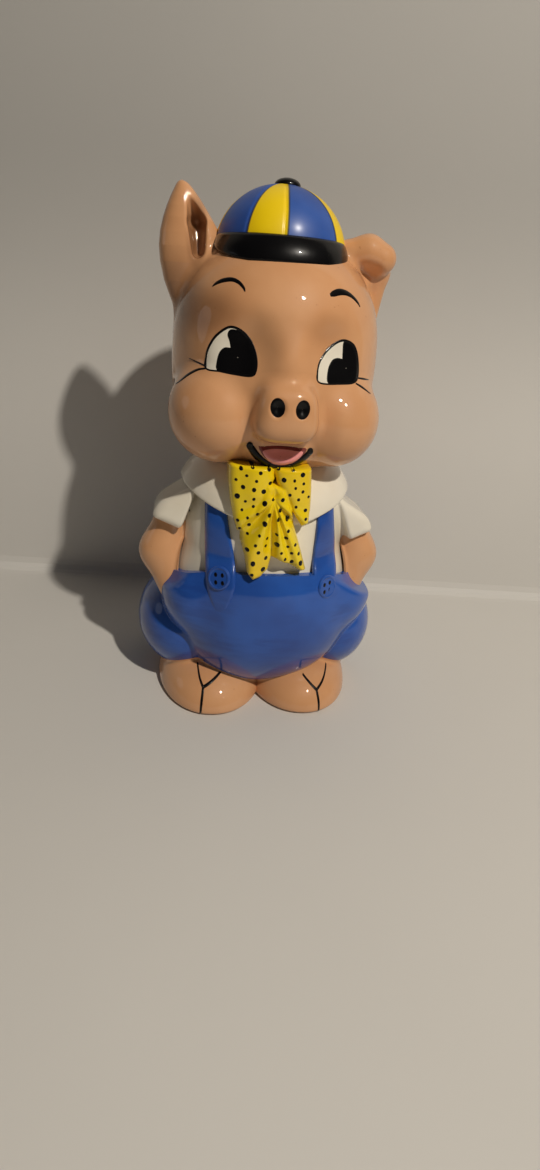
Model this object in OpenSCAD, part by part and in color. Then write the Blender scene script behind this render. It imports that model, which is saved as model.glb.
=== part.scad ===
// Hollow ceramic coin bank: a standing pig in overalls, shirt, bow tie and cap.
// Every piece is the one that is formed and luted (joined with slip) before firing,
// and a rubber stopper closes the hole in the base.
// Millimetres. The pig faces -Y, its right hand side is -X, and it stands on z = 0.
// "s" is the side in every paired module: -1 is the pig's right, 1 is its left.

/* [Body] */
// Largest radius of the overalls' belly
belly_r = 60; // [54:1:64]
// Half height of the belly's round
belly_half_h = 62; // [58:1:66]
// Largest radius of the shirt's torso
torso_r = 51; // [48:0.5:54]
// Thickness of the ceramic wall
wall = 5.5; // [4:0.5:6]
// Height of the overalls' top hem
hem_z = 90; // [86:1:96]
// Height of the neck joint between torso and head
neck_z = 146; // [142:1:150]

/* [Head] */
// Largest radius of the head
head_r = 59; // [55:1:62]
// Half height of the head's round
head_half_h = 66; // [62:1:70]
// Radius of a cheek
cheek_r = 28; // [24:1:30]
// Height of the plane where the cap sits on the head
cap_z = 262; // [258:1:264]
// Radius of the cap's crown
crown_r = 35; // [32:0.5:37]

/* [Coin slot and stopper] */
// Length of the coin slot in the back of the shirt
slot_l = 40; // [32:1:42]
// Height of the coin slot
slot_h = 5; // [4.5:0.5:7]
// Height of the coin slot's middle
slot_z = 112; // [108:1:116]
// Radius of the stopper's hole in the base
hole_r = 16; // [12:0.5:20]
// Gap all round between stopper and hole
stopper_gap = 0.05; // [0.02:0.01:0.1]

/* [Straps and buttons] */
// Distance of each strap's middle from the centre plane
strap_x = 31; // [28:1:33]
// Width of a strap
strap_w = 13; // [10:1:15]
// How far a strap stands out of the shirt
strap_t = 3; // [2:0.5:4]
// Radius of a strap button
button_r = 7; // [5:0.5:8]

/* [Hidden] */
$fn = 64;
SMALL = 32;                         // facets of the pieces that are hulls
FINE = 256;                         // facets where a small piece lies on a large round
STEPS = 14;                         // stretches in each turned outline
axis_y = 5;                         // puts the middle of the pig's depth on the origin
belly_z = 62;
torso_half_h = 65;
torso_z = 90;
head_z = 204;
belly_p = 2.2;                      // how square each turned outline is (2 is an ellipse)
torso_p = 2.6;
head_p = 2.5;
collar_z = 143.5;
plate_z0 = 4;
plate_z1 = 8;
plate_r = round_r(plate_z1, belly_z, belly_r, belly_half_h, belly_p);
neck_r = round_r(neck_z, torso_z, torso_r, torso_half_h, torso_p);
BIG = 400;

// Radius of a turned body at height z: a superellipse of half width a and half height c
function round_r(z, mid, a, c, p) =
    a * pow(max(0, 1 - pow(min(1, abs(z - mid) / c), p)), 1 / p);

// A solid turned about the pig's upright axis between two heights
module turned(z0, z1, mid, a, c, p) {
    rotate_extrude()
        polygon([
            [0, z0],
            for (i = [0:STEPS])
                let (z = z0 + (z1 - z0) * i / STEPS)
                [round_r(z, mid, a, c, p), z],
            [0, z1]
        ]);
}

// A solid ellipsoid with its middle at "at" and half sizes "r"
module egg(at, r) {
    translate(at) scale([r[0] / r[2], r[1] / r[2], 1]) sphere(r[2]);
}

module ball(at, r) { translate(at) sphere(r, $fn = SMALL); }

// Keeps what is above z
module above(z) {
    intersection() {
        children();
        translate([-BIG / 2, -BIG / 2, z]) cube(BIG);
    }
}

// The hollow bodies are pressed in two halves: end is -1 for the front, 1 for the back
module half(end) {
    intersection() {
        children();
        translate([-BIG / 2, end > 0 ? 0 : -BIG, 0]) cube(BIG);
    }
}

// Whole outer forms, before they are hollowed or cut by their neighbours

module belly_form() { turned(plate_z1, hem_z, belly_z, belly_r, belly_half_h, belly_p); }

module torso_form(extra = 0) {
    turned(hem_z, neck_z, torso_z, torso_r + extra, torso_half_h + extra, torso_p);
}

module head_form() {
    turned(neck_z, cap_z, head_z, head_r, head_half_h, head_p);
    for (s = [-1, 1]) translate([s * 32, -26, 180]) sphere(cheek_r);
}

module crown_form() {
    above(cap_z) translate([0, 0, cap_z]) sphere(crown_r);
}

// The cap's short peak: the front of a flat ellipsoid that tips forward
module brim_form() {
    intersection() {
        translate([0, -10, cap_z]) rotate([10, 0, 0]) egg([0, 0, 0], [38, 33, 7]);
        translate([-BIG / 2, 2 - BIG, 0]) cube(BIG);
    }
}

module leg_form(s) { egg([s * 40, 2, 42], [32, 42, 31]); }

module pocket_form(s) { egg([s * 47, -16, 66], [22.5, 26, 22]); }

module foot_form(s) {
    intersection() {
        egg([s * 28, -8, 4], [33, 50, 31]);
        translate([s > 0 ? 0 : -BIG, -BIG / 2, 0]) cube(BIG);
    }
}

// The short sleeve: a cone from the shoulder out and down to the cuff
module sleeve_form(s) {
    translate([s * 36, -7, 122]) rotate([0, s * 128, 0]) cylinder(h = 26, r1 = 20, r2 = 18);
}

module arm_form(s) {
    hull() {
        ball([s * 54, -8, 114], 11);
        ball([s * 61, -8, 86], 13);
    }
    hull() {
        ball([s * 61, -8, 86], 13);
        ball([s * 49, -20, 66], 11);
    }
}

// The surface of the straps' ends, which lap onto the overalls
module strap_end_form() {
    turned(72, hem_z + 8, belly_z, belly_r + strap_t, belly_half_h + strap_t, belly_p);
}

// A strap follows the shirt over the shoulder down to its two ends
module strap_form(s) {
    intersection() {
        union() {
            torso_form(strap_t);
            strap_end_form();
        }
        translate([s * strap_x - strap_w / 2, -BIG / 2, 0]) cube([strap_w, BIG, BIG]);
    }
}

// The spread collar: a sloping band, lower at the front
module collar_form() {
    translate([0, 0, collar_z]) rotate([7, 0, 0]) rotate_extrude()
        polygon([
            [33, 7], [35, 11], [41, 7], [54, -8], [53, -12], [47, -9.5], [42, -3], [36, 3.5]
        ]);
}

// The pieces, each one a separate solid

module base_plate() {
    color("peru") difference() {
        translate([0, 0, plate_z0]) cylinder(h = plate_z1 - plate_z0, r = plate_r);
        cylinder(h = BIG, r = hole_r);
    }
}

module foot(s) {
    color("peru") difference() {
        foot_form(s);
        cylinder(h = plate_z1, r = plate_r);
        belly_form();
        leg_form(s);
    }
}

module trouser_leg(s) {
    color("royalblue") difference() {
        leg_form(s);
        belly_form();
    }
}

module overalls(end) {
    color("royalblue") half(end) difference() {
        belly_form();
        turned(plate_z1, hem_z, belly_z, belly_r - wall, belly_half_h - wall, belly_p);
    }
}

module pocket(s) {
    color("royalblue") difference() {
        pocket_form(s);
        belly_form();
        leg_form(s);
        translate([s * 56, 0, 76]) rotate([0, s * 36, 0])
            translate([-BIG / 2, -BIG / 2, 0]) cube(BIG);
    }
}

// The coin slot is in the back of the shirt
module shirt(end) {
    color("ivory") half(end) difference() {
        torso_form();
        turned(hem_z, neck_z, torso_z, torso_r - wall, torso_half_h - wall, torso_p);
        translate([-slot_l / 2, 0, slot_z - slot_h / 2]) cube([slot_l, BIG, slot_h]);
    }
}

module arm(s) {
    color("peru") difference() {
        arm_form(s);
        sleeve_form(s);
        torso_form();
        belly_form();
        pocket_form(s);
        leg_form(s);
    }
}

module sleeve(s) {
    color("ivory") difference() {
        sleeve_form(s);
        torso_form();
        belly_form();
        strap_form(s);
    }
}

module strap(s) {
    color("royalblue") difference() {
        strap_form(s);
        torso_form();
        belly_form();
    }
}

// A round button with four holes, standing on the strap's lower end
module strap_button(s) {
    turn = 30;
    color("royalblue") difference() {
        rotate([90, 0, s * turn]) translate([0, 83, 56]) difference() {
            cylinder(h = 8, r = button_r);
            for (x = [-1, 1], y = [-1, 1]) translate([x * 2, y * 2, 6]) cylinder(h = 5, r = 0.9);
        }
        strap_end_form($fn = FINE);
    }
}

module collar() {
    color("ivory") difference() {
        collar_form();
        torso_form();
        head_form();
        for (s = [-1, 1]) {
            strap_form(s);
            sleeve_form(s);
        }
        translate([-8, -BIG, 0]) cube([16, BIG, BIG]);
    }
}

// Two loops, two tails and the knot of the bow, in relief on the shirt
module bow_tie() {
    color("gold") difference() {
        union() {
            for (s = [-1, 1]) {
                hull() {
                    ball([0, -54, 139], 5);
                    ball([s * 19, -52, 148], 4);
                    ball([s * 17, -54, 122], 4);
                }
                hull() {
                    ball([0, -54, 136], 5);
                    ball([s * 8, -56, 95], 4);
                    ball([s * 14, -55, 102], 4);
                }
            }
            egg([0, -56, 139], [6, 5, 7]);
        }
        head_form();
        torso_form();
        collar_form();
        belly_form();
    }
}

module head(end) {
    color("peru") half(end) difference() {
        head_form();
        turned(neck_z, cap_z, head_z, head_r - wall, head_half_h - wall, head_p);
    }
}

module snout() {
    color("peru") difference() {
        egg([0, -53, 184.5], [17, 17, 14.5]);
        head_form();
        for (s = [-1, 1]) egg([s * 6.3, -71, 188], [3.2, 4, 4.2]);
    }
}

// The upright ear: a pointed cup, open to the front
module ear_right() {
    color("peru") difference() {
        hull() {
            ball([-56.5, 3, 290.5], 4);
            ball([-61, 3, 265], 7);
            ball([-56, 3, 240], 5);
            ball([-43, 3, 272], 5);
            ball([-42, 3, 252], 9);
        }
        hull() {
            ball([-54.5, -4, 284], 2);
            ball([-49, -8, 262], 6);
        }
        head_form();
        crown_form();
        brim_form();
    }
}

// The other ear: it leans out and its tip folds down in front
module ear_left() {
    color("peru") difference() {
        union() {
            hull() {
                ball([42, 2, 256], 13);
                ball([56, 0, 263], 12);
            }
            hull() {
                ball([56, 0, 263], 12);
                ball([57, 0, 238], 5);
            }
        }
        head_form();
        crown_form();
        brim_form();
    }
}

module cap_crown() {
    color("royalblue") difference() {
        crown_form();
        translate([0, 0, cap_z]) sphere(crown_r - wall);
    }
}

module cap_brim() {
    color("black") difference() {
        brim_form();
        crown_form();
        head_form();
    }
}

module cap_button() {
    color("black") difference() {
        egg([0, 0, cap_z + crown_r - 0.5], [7, 7, 4]);
        crown_form();
    }
}

// Rubber plug: a flange that stays outside, a round body in the hole and a tapered lead
module stopper() {
    flange_z = plate_z0 - 0.3;
    color("dimgray") union() {
        translate([0, 0, flange_z - 2.4]) cylinder(h = 2.4, r = hole_r + 3);
        translate([0, 0, flange_z]) cylinder(h = plate_z1 + 3 - flange_z, r = hole_r - stopper_gap);
        translate([0, 0, plate_z1 + 3]) cylinder(h = 4, r1 = hole_r - stopper_gap, r2 = hole_r - 2);
    }
}

module place() { translate([0, axis_y, 0]) children(); }

place() base_plate();
place() foot(-1);  // foot_right
place() foot(1);  // foot_left
place() trouser_leg(-1);  // trouser_leg_right
place() trouser_leg(1);  // trouser_leg_left
place() overalls(-1);  // overalls_front
place() overalls(1);  // overalls_back
place() pocket(-1);  // pocket_right
place() pocket(1);  // pocket_left
place() shirt(-1);  // shirt_front
place() shirt(1);  // shirt_back
place() arm(-1);  // arm_right
place() arm(1);  // arm_left
place() sleeve(-1);  // sleeve_right
place() sleeve(1);  // sleeve_left
place() strap(-1);  // strap_right
place() strap(1);  // strap_left
place() strap_button(-1);  // strap_button_right
place() strap_button(1);  // strap_button_left
place() collar();
place() bow_tie();
place() head(-1);  // head_front
place() head(1);  // head_back
place() snout();
place() ear_right();
place() ear_left();
place() cap_crown();
place() cap_brim();
place() cap_button();
place() stopper();
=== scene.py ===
"""Looks of the ceramic pig bank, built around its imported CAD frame.

The glazed pieces are sculpted as distance fields: a piece is the space where all of its
fields are below zero. A dual mesh of that space is settled onto the fields, so creases are
sharp where two fields meet and the shading normals come from the fields themselves. Painted
brush work is thin raised glaze laid onto the same fields.

Fields work in millimetres, with x and z as in the frame and y measured from the pig's
upright axis. "s" is the side: -1 is the pig's right, 1 is its left.
"""

import math

import bpy
import numpy as np
from mathutils import Matrix, Vector


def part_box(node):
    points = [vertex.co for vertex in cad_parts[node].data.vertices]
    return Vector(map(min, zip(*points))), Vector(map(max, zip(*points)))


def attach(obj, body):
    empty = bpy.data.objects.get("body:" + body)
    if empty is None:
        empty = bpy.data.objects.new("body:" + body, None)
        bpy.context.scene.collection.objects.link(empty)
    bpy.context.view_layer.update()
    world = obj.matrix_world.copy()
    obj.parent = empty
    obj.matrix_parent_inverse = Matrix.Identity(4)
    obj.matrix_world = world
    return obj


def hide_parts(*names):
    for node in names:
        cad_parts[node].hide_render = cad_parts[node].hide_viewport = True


np.seterr(divide="ignore", invalid="ignore")   # in unused branches of np.where
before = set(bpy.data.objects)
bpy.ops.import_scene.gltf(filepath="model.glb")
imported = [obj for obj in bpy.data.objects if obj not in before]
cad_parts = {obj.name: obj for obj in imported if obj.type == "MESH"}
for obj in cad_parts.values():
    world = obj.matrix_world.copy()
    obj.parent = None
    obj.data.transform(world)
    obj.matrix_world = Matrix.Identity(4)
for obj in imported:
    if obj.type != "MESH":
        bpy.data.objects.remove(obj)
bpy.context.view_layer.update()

MM = 0.001
SIDES = {-1: "right", 1: "left"}
COARSE = 1.0


# ---- sizes from the frame

def mm_box(node):
    """Lowest and highest corner of a CAD node in millimetres."""
    lo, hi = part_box(node)
    return np.array(lo) / MM, np.array(hi) / MM


AXIS_Y = sum(mm_box("cap_button"))[1] / 2
BELLY_HI = mm_box("overalls_back")[1]
SHIRT_HI = mm_box("shirt_back")[1]
HEAD_HI = mm_box("head_back")[1]
CROWN_LO, CROWN_HI = mm_box("cap_crown")
PLATE_LO, PLATE_HI = mm_box("base_plate")
STOP_LO, STOP_HI = mm_box("stopper")

HEM_Z = BELLY_HI[2]
NECK_Z = SHIRT_HI[2]
CAP_Z = CROWN_LO[2]
BELLY_R = BELLY_HI[1] - AXIS_Y
SHIRT_R = SHIRT_HI[1] - AXIS_Y
HEAD_R = HEAD_HI[1] - AXIS_Y
CROWN_R = (CROWN_HI[0] - CROWN_LO[0]) / 2
CROWN_TOP = CROWN_HI[2]
PLATE_R = (PLATE_HI[0] - PLATE_LO[0]) / 2
WALL = 5.5
BURIED = 1.5    # how deep a piece runs into the one that carries it
NUDGE = 0.02    # step for measured slopes
SLOT_Z, SLOT_HALF_X, SLOT_HALF_Z = 112.0, 20.0, 2.5
SEAMS = (-39, -5, 46, 90, 134, 180, 226, 276)    # degrees round the cap from its front
BUTTONS = {-1: (-28.6, 87.3), 1: (34.2, 82.0)}   # x, z of the strap buttons


# ---- field tools

def smin(a, b, k):
    """Union with a fillet about k wide."""
    h = np.maximum(k - np.abs(a - b), 0) / k
    return np.minimum(a, b) - h * h * k / 4


def smax(a, b, k):
    """Intersection with a rounded edge about k wide."""
    return -smin(-a, -b, k)


def ease(t):
    t = np.clip(t, 0, 1)
    return t * t * (3 - 2 * t)


def bell(d, width):
    return np.exp(-((d / width) ** 2))


def mirrored(P):
    return np.column_stack([np.abs(P[:, 0]), P[:, 1], P[:, 2]])


def egg(P, at, r):
    """Ellipsoid."""
    q = P - np.array(at, float)
    r = np.array(r, float)
    k0 = np.linalg.norm(q / r, axis=1)
    k1 = np.linalg.norm(q / (r * r), axis=1) + 1e-9
    return k0 * (k0 - 1) / k1


def limb(P, a, b, ra, rb):
    """Round cone between two points."""
    a, b = np.array(a, float), np.array(b, float)
    d = b - a
    t = np.clip((P - a) @ d / (d @ d), 0, 1)
    return np.linalg.norm(P - a - t[:, None] * d, axis=1) - (ra + (rb - ra) * t)


def lathe(P, mid, a, c, p):
    """Turned superellipse about the upright axis."""
    u = np.hypot(P[:, 0], P[:, 1]) / a + 1e-9
    v = np.abs(P[:, 2] - mid) / c + 1e-9
    k = (u**p + v**p) ** (1 / p)
    slope = k ** (1 - p) * np.hypot(u ** (p - 1) / a, v ** (p - 1) / c)
    return (k - 1) / np.maximum(slope, 1e-6)


def plane(P, at, normal):
    """Below zero behind a plane."""
    n = np.array(normal, float)
    n /= np.linalg.norm(n)
    return (P - np.array(at, float)) @ n


def gradient(field, P):
    ways = NUDGE * np.eye(3)
    return np.column_stack([(field(P + d) - field(P - d)) / (2 * NUDGE) for d in ways])


def unit(v):
    return v / np.maximum(np.linalg.norm(v, axis=1, keepdims=True), 1e-12)


def outside(host, depth=BURIED):
    """Outside a host, and a little way into it."""
    return lambda P: -host(P) - depth


def grown(host, form, k):
    """Fields of a piece that grows out of a host, with a fillet k wide at its foot."""
    return [
        lambda P: smin(host(P), form(P), k), lambda P: form(P) - host(P) - 0.92 * k, outside(host),
    ]


# ---- forms of the pig

def block(P, at, half, p):
    """How far out a point is in a superellipsoid: 1 on its surface."""
    q = [np.abs(P[:, i] - at[i]) / half[i] for i in range(3)]
    return (q[0] ** p + q[1] ** p + q[2] ** p) ** (1 / p) + 1e-9


def turned(radius, middle, half, power):
    """A body turned about the axis; `extra` makes it larger all round."""
    return lambda P, extra=0.0: lathe(P, middle, radius + extra, half + extra, power)


head_ball = turned(HEAD_R, middle=204, half=66, power=2.5)
torso_ball = turned(SHIRT_R, middle=90, half=65, power=2.6)
belly_ball = turned(BELLY_R, middle=62, half=62, power=2.2)


def host_body(P):
    return np.minimum(torso_ball(P), belly_ball(P))


def face(P):
    """Head, cheeks, brow and jaw in one skin, without snout and ears."""
    Q = mirrored(P)
    f = smin(head_ball(P), egg(P, [-32, -27, 177.5], [28, 32, 28.5]), 5)
    f = smin(f, egg(P, [31, -27, 177], [26.6, 32, 28]), 5)
    f = smin(f, egg(P, [0, -34, 163], [21, 23, 15]), 5)
    f = smin(f, egg(P, [0, -46, 205], [10, 16, 17]), 10)
    f = smax(f, -egg(Q, [29.5, -65, 217], [17, 15.5, 18]), 11)
    f = smax(f, -limb(P, [-18.3, -66, 197], [-20, -63.5, 163], 6.0, 5.8), 5)
    f = smax(f, -limb(P, [18, -66.5, 197], [20, -64, 163], 5.0, 4.6), 9)
    return smax(f, -mouth_hollow(P), 1.5)


def mouth_hollow(P):
    """The open mouth under the snout: a shallow scoop."""
    return egg(P, [0, -64, 167], [15, 13.5, 12])


def snout_form(P):
    """A blunt rounded box, a little wider at its lip, with two nostril dimples."""
    wide = 15.6 + 2.2 * ease((196 - P[:, 2]) / 24)
    box = (block(P, [0, -54, 184], [wide, 17.0, 16.2], 3) - 1) * 14.5
    holes = egg(mirrored(P), [6.3, -72.5, 188.2], [3.9, 4.5, 4.9])
    return smax(box, -holes, 2)


def skin(P):
    return smin(face(P), snout_form(P), 5)


def upright_ear(P):
    """A pointed leaf on the pig's right with a deep, narrow cup towards the front."""
    z = P[:, 2]
    levels = np.array([  # height, outer edge, inner edge, half depth
        (216, -50, -42, 1.5), (226, -56.5, -38, 5), (234, -60.8, -34, 8), (243, -64.5, -31, 10.5),
        (253, -67, -30, 12), (261, -67.8, -31.5, 12), (268, -67.4, -34.2, 11.4),
        (275, -66, -38.6, 10.4), (281, -64.2, -42.8, 9), (286, -62.2, -46.5, 7.4),
        (290, -60.4, -50, 5.8), (293, -59, -53, 4.4), (295.5, -57.6, -56.6, 2.5),
    ]).T
    outer, inner, depth = (np.interp(z, levels[0], row) for row in levels[1:])
    half = np.maximum((inner - outer) / 2, 0.4)
    x = np.abs(P[:, 0] - (inner + outer) / 2) / half
    y = np.abs(P[:, 1] - 2) / depth
    side = ((x**2.2 + y**2.2) ** (1 / 2.2) - 1) * np.minimum(half, depth) * 0.9
    f = smax(side, z - 294.8, 3.5)
    Q = np.column_stack([P[:, 0], (P[:, 1] + 10) * 0.36, z])
    cup = smin(
        limb(Q, [-53.4, 0, 288.5], [-47.9, 0, 274], 0.9, 5.2),
        limb(Q, [-47.9, 0, 274], [-46.4, 0, 258.5], 5.2, 3.4), 1,
    )
    return smax(f, -cup, 1.6)


def folded_ear(P):
    """The other ear: a leaf that leans out, its tip rolled over to the front."""
    bend, fold = [55.5, 4, 256], [48, -4, 266.6]
    leaf = smin(limb(P, [42, 5, 251], bend, 9.5, 8.4), limb(P, bend, [56.6, 3, 233], 8.3, 3.2), 3)
    roll = smin(limb(P, [35, -1, 262.5], fold, 9.5, 9.2), limb(P, fold, [55.2, -5, 263.6], 9.2, 8.8), 3)
    f = smin(roll, leaf, 3)
    return smax(f, -egg(P, [46.5, -14, 253], [9.5, 8.5, 6.5]), 4)


def crown_form(P):
    """The cap's crown, sewn from eight panels that puff a little between their seams."""
    x, y, z = P[:, 0] + 1.5, P[:, 1], P[:, 2] - CAP_Z
    flat = np.hypot(x, y) + 1e-9
    turn = np.degrees(np.arctan2(x, -y))
    off = np.min([np.abs((turn - seam + 180) % 360 - 180) for seam in SEAMS], axis=0)
    ball = np.sqrt((flat / 1.035) ** 2 + z**2) - CROWN_R
    groove = 0.45 * bell(np.radians(off) * flat, 0.8) * ease((flat - 5) / 6)
    return ball + groove


def brim_form(P):
    """The short glossy peak: a sloping band that is deepest at the front."""
    z = P[:, 2]
    flat = np.hypot(P[:, 0] + 1.7, P[:, 1]) + 1e-9
    front = np.clip(-P[:, 1] / flat + 0.12, 0, 1) ** 1.2
    low_z, low_r = CAP_Z + 1.5 - 8.5 * front, CROWN_R + 1.0 + 7.0 * front
    top_z, top_r = CAP_Z + 7.6, CROWN_R - 0.2 + 1.8 * front
    down = np.clip((top_z - z) / (top_z - low_z), -0.2, 1.2)
    bulge = 1.6 * front * np.sin(math.pi * np.clip(down, 0, 1))
    wall = (flat - (top_r + (low_r - top_r) * down + bulge)) * 0.8
    f = smax(smax(wall, z - top_z, 2), low_z - z, 2.5)
    return smax(f, P[:, 1] - 3, 5)


def hem_z(P):
    """The hem of the overalls dips at the hips."""
    turn = np.degrees(np.arctan2(np.abs(P[:, 0]), -P[:, 1]))
    return HEM_Z + 0.8 - 12.5 * bell(turn - 74, 32)


def overalls(P):
    """The belly of the overalls, with a softly rounded top edge."""
    return smax(belly_ball(P), P[:, 2] - hem_z(P), 2.4)


def sided(form):
    """A form written for the pig's left, which form(s) turns to either side."""
    return lambda s: lambda P: form(P * [s, 1, 1], s)


@sided
def pocket_form(P, s):
    """The hip pocket swells over the hand and runs on into the flank of the belly."""
    slope, wide, at, half = {
        -1: (0.8, 44, [40, -20, 66], [20.5, 28, 25]),
        1: (0.62, 59.5, [47, -13, 66], [24, 30, 26]),
    }[s]
    bag = egg(P, at, half)
    bowl = (block(P, [0, -9, 62], [wide, 49, 52], 2.4) - 1) * 50
    flank = smax(bowl, -P[:, 0], 3)
    mouth = plane(P, [55, -24, 74.5], [slope, 0, 1])
    return smax(smax(smin(bag, flank, 8), mouth, 2.2), P[:, 2] - hem_z(P) - 0.3, 1.6)


@sided
def leg_form(P, s):
    return egg(P, [43 if s < 0 else 46, 5, 36], [32.5, 42, 32])


@sided
def foot_form(P, s):
    return smax((block(P, [27.5, -8, 1], [33.5, 50.5, 25.5], 2.1) - 1) * 27, -P[:, 2], 3)


def shirt_ball(P):
    """The shirt, tucked into the overalls at the hips."""
    return smin(torso_ball(P), belly_ball(P) + 3.0, 3)


def coin_gap(P):
    """Outside the coin slot, whose corners are softened by the glaze."""
    sides = smax(np.abs(P[:, 0]) - SLOT_HALF_X, np.abs(P[:, 2] - SLOT_Z) - SLOT_HALF_Z, 2)
    return -np.maximum(sides, -P[:, 1])


def drop_on(field, x, z):
    """Points where rays from straight in front meet a field."""
    start, steps, care = -95.0, 90, 0.85
    P = np.column_stack([x, np.full(len(x), start), z])
    for _ in range(steps):
        P[:, 1] += np.clip(field(P), -2, 6) * care
    return P


@sided
def arm_form(P, s):
    elbow = [60.5, -8, 86]
    return smin(limb(P, [56, -7, 103], elbow, 11.5, 13.4), limb(P, elbow, [50, -20, 64], 13.4, 11), 6)


@sided
def sleeve_form(P, s):
    """A short boxy sleeve whose hem slants down towards the chest."""
    lift = -2.5 * s
    out = plane(P, [67, -6, 111 + lift], [1, 0, 0.12])
    hem = plane(P, [59, -8, 105.5 + lift], [0.36, 0.05, -1])
    top = plane(P, [57, -8, 121 + lift], [0.62, 0, 1])
    front = plane(P, [56, -25, 112], [0.2, -1, 0.05])
    back = plane(P, [56, 14, 112], [0.3, 1, 0.1])
    chest = plane(P, [47.5, -8, 114], [-1, 0, -0.32])
    f = smax(smax(out, top, 6), hem, 2.2)
    return smax(smax(smax(f, front, 6), back, 10), chest, 2.5)


@sided
def strap_form(P, s):
    """Flat over the shirt; its end swells on the overalls and dies away down the belly.

    Seen from the front, the strap widens a little downwards, then tapers.
    """
    z = P[:, 2]
    half = 6.0 + 2.4 * ease((128 - z) / 38)
    half = half * (0.25 + 0.75 * ease((z - 58) / 28))
    top, aside = (31.4, -3.7) if s < 0 else (32.4, 1.0)
    band = np.abs(P[:, 0] - top - aside * ease((126 - z) / 38)) - half
    proud = 2.8 - 2.2 * ease((84 - z) / 24)
    over = belly_ball(P) - proud + 5 * ease((z - HEM_Z) / 14)
    end_z = np.where(P[:, 1] < 0, 60.0, HEM_Z - 6)
    return smax(smax(smin(torso_ball(P, 2.6), over, 4), band, 2.6), end_z - z, 8)


def strap_button_form(s):
    """A low round button; its four holes are painted."""
    x, z = BUTTONS[s]
    at = drop_on(strap_form(s), np.array([x]), np.array([z]))
    out = unit(gradient(strap_form(s), at))[0]

    def f(P):
        q = P - at[0]
        up = q @ out
        flat = np.linalg.norm(q - up[:, None] * out, axis=1)
        disc = smax(flat - 7.0, np.abs(up) - 1.3, 1.8)
        dish = np.maximum(flat - 5.0, 0.9 - up)
        return smax(disc, -dish, 1.0)
    return f


def collar_form(P):
    """A spread collar that slopes up to the neck, with two points at the front."""
    x, y, z = P[:, 0], P[:, 1], P[:, 2]
    turn = np.degrees(np.arctan2(np.abs(x), -y))
    edge = np.interp(turn, [0, 14, 22, 34, 48, 62, 80, 100, 180],
                     [121, 119.5, 120.5, 123.5, 126.5, 129.3, 131.5, 132, 131])
    flat = np.hypot(x / 1.045, y) + 1e-9
    rise = np.clip(np.abs(z - 114) / 42, 0, 0.999)
    slope = (flat - 52.8 * (1 - rise**2.4) ** (1 / 2.4)) * 0.75
    f = smax(slope, edge - z, 2.0)
    gap = np.where(y < 0, 4.0 - np.abs(x), -20.0)
    return smax(f, gap, 2)


def leaf_shape(P, outline):
    """Signed distance, in the front view, to a closed outline of (x, z) points."""
    p = P[:, [0, 2]]
    o = np.array(outline, float)
    best, inside = np.full(len(p), 1e9), np.zeros(len(p), bool)
    for a, b in zip(o, np.roll(o, -1, axis=0)):
        d = b - a
        t = np.clip((p - a) @ d / (d @ d), 0, 1)
        best = np.minimum(best, np.linalg.norm(p - a - t[:, None] * d, axis=1))
        spans = (a[1] > p[:, 1]) != (b[1] > p[:, 1])
        cross = (b[0] - a[0]) * (p[:, 1] - a[1]) / (b[1] - a[1]) + a[0]
        inside ^= spans & (p[:, 0] < cross)
    return np.where(inside, -best, best)


BOW_LEAVES = {
    "loop_right": ([(-26, 155), (-4, 155), (-2.5, 147), (-6, 138), (-12, 126), (-17, 117.5),
                    (-20, 116.5), (-22.3, 124), (-24.3, 133), (-25.6, 143)], 5.0),
    "loop_left": ([(-3, 155), (17.5, 155), (18.6, 141), (19, 130), (18.2, 122.5), (15.2, 120.5),
                   (11.5, 126), (6, 136), (0, 145)], 5.0),
    "tail_right": ([(-6, 144), (-1.5, 143), (-0.6, 122), (-1.3, 102), (-2.4, 95), (-6, 91.5),
                    (-10.6, 90.4), (-13.4, 94), (-15.2, 103), (-17.6, 110), (-17.8, 117),
                    (-12.5, 127)], 6.2),
    "tail_left": ([(-2, 143), (3.5, 142), (8, 129), (12.4, 115), (16.4, 103), (18.8, 95.6),
                   (16, 95.2), (9.4, 99.2), (2.6, 102.6), (-0.2, 103.2), (-0.9, 122)], 6.2),
}


def bow_folds(P):
    """Soft pleats that fan out of the pinched middle."""
    x, z = P[:, 0] + 2.2, P[:, 2] - 137
    turn = np.degrees(np.arctan2(x, -z))
    reach = np.hypot(x, z)
    pleats = (
        (1.0, -50, 9), (-2.4, -33, 7.5), (1.3, -17, 7), (-2.4, -1, 5.5), (1.2, 11, 5),
        (-1.0, 18.5, 3.5), (0.8, 25, 4), (-3.0, 39, 6.5), (1.0, 55, 9),
    )
    fan = sum(rise * bell(turn - at, width) for rise, at, width in pleats)
    above = ease((np.abs(turn) - 95) / 60)
    wave = -1.1 * above * bell(x, 4.5) + 0.9 * bell(np.abs(x) - 11, 5) * ease((np.abs(turn) - 70) / 30)
    return 1.35 * fan * ease((reach - 1) / 14) + wave - 0.8 * bell(reach, 6)


def bow_base(P):
    """The upright, slightly tapering surface that the bow lies on."""
    reach = np.interp(P[:, 2], [88, 96, 110, 135, 156], [56.2, 54.2, 53.2, 52.8, 51])
    return np.hypot(P[:, 0], P[:, 1]) - reach


def bow_form(P):
    folds = bow_folds(P)
    f = np.full(len(P), 99.0)
    for outline, rise in BOW_LEAVES.values():
        shape = leaf_shape(P, outline)
        f = smin(f, smax(shape - 0.6, (bow_base(P) - rise - folds) * 0.85, 4.5), 0.9)
    return smax(f, P[:, 2] - 153.5, 2)


# ---- dual mesh engine

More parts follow.
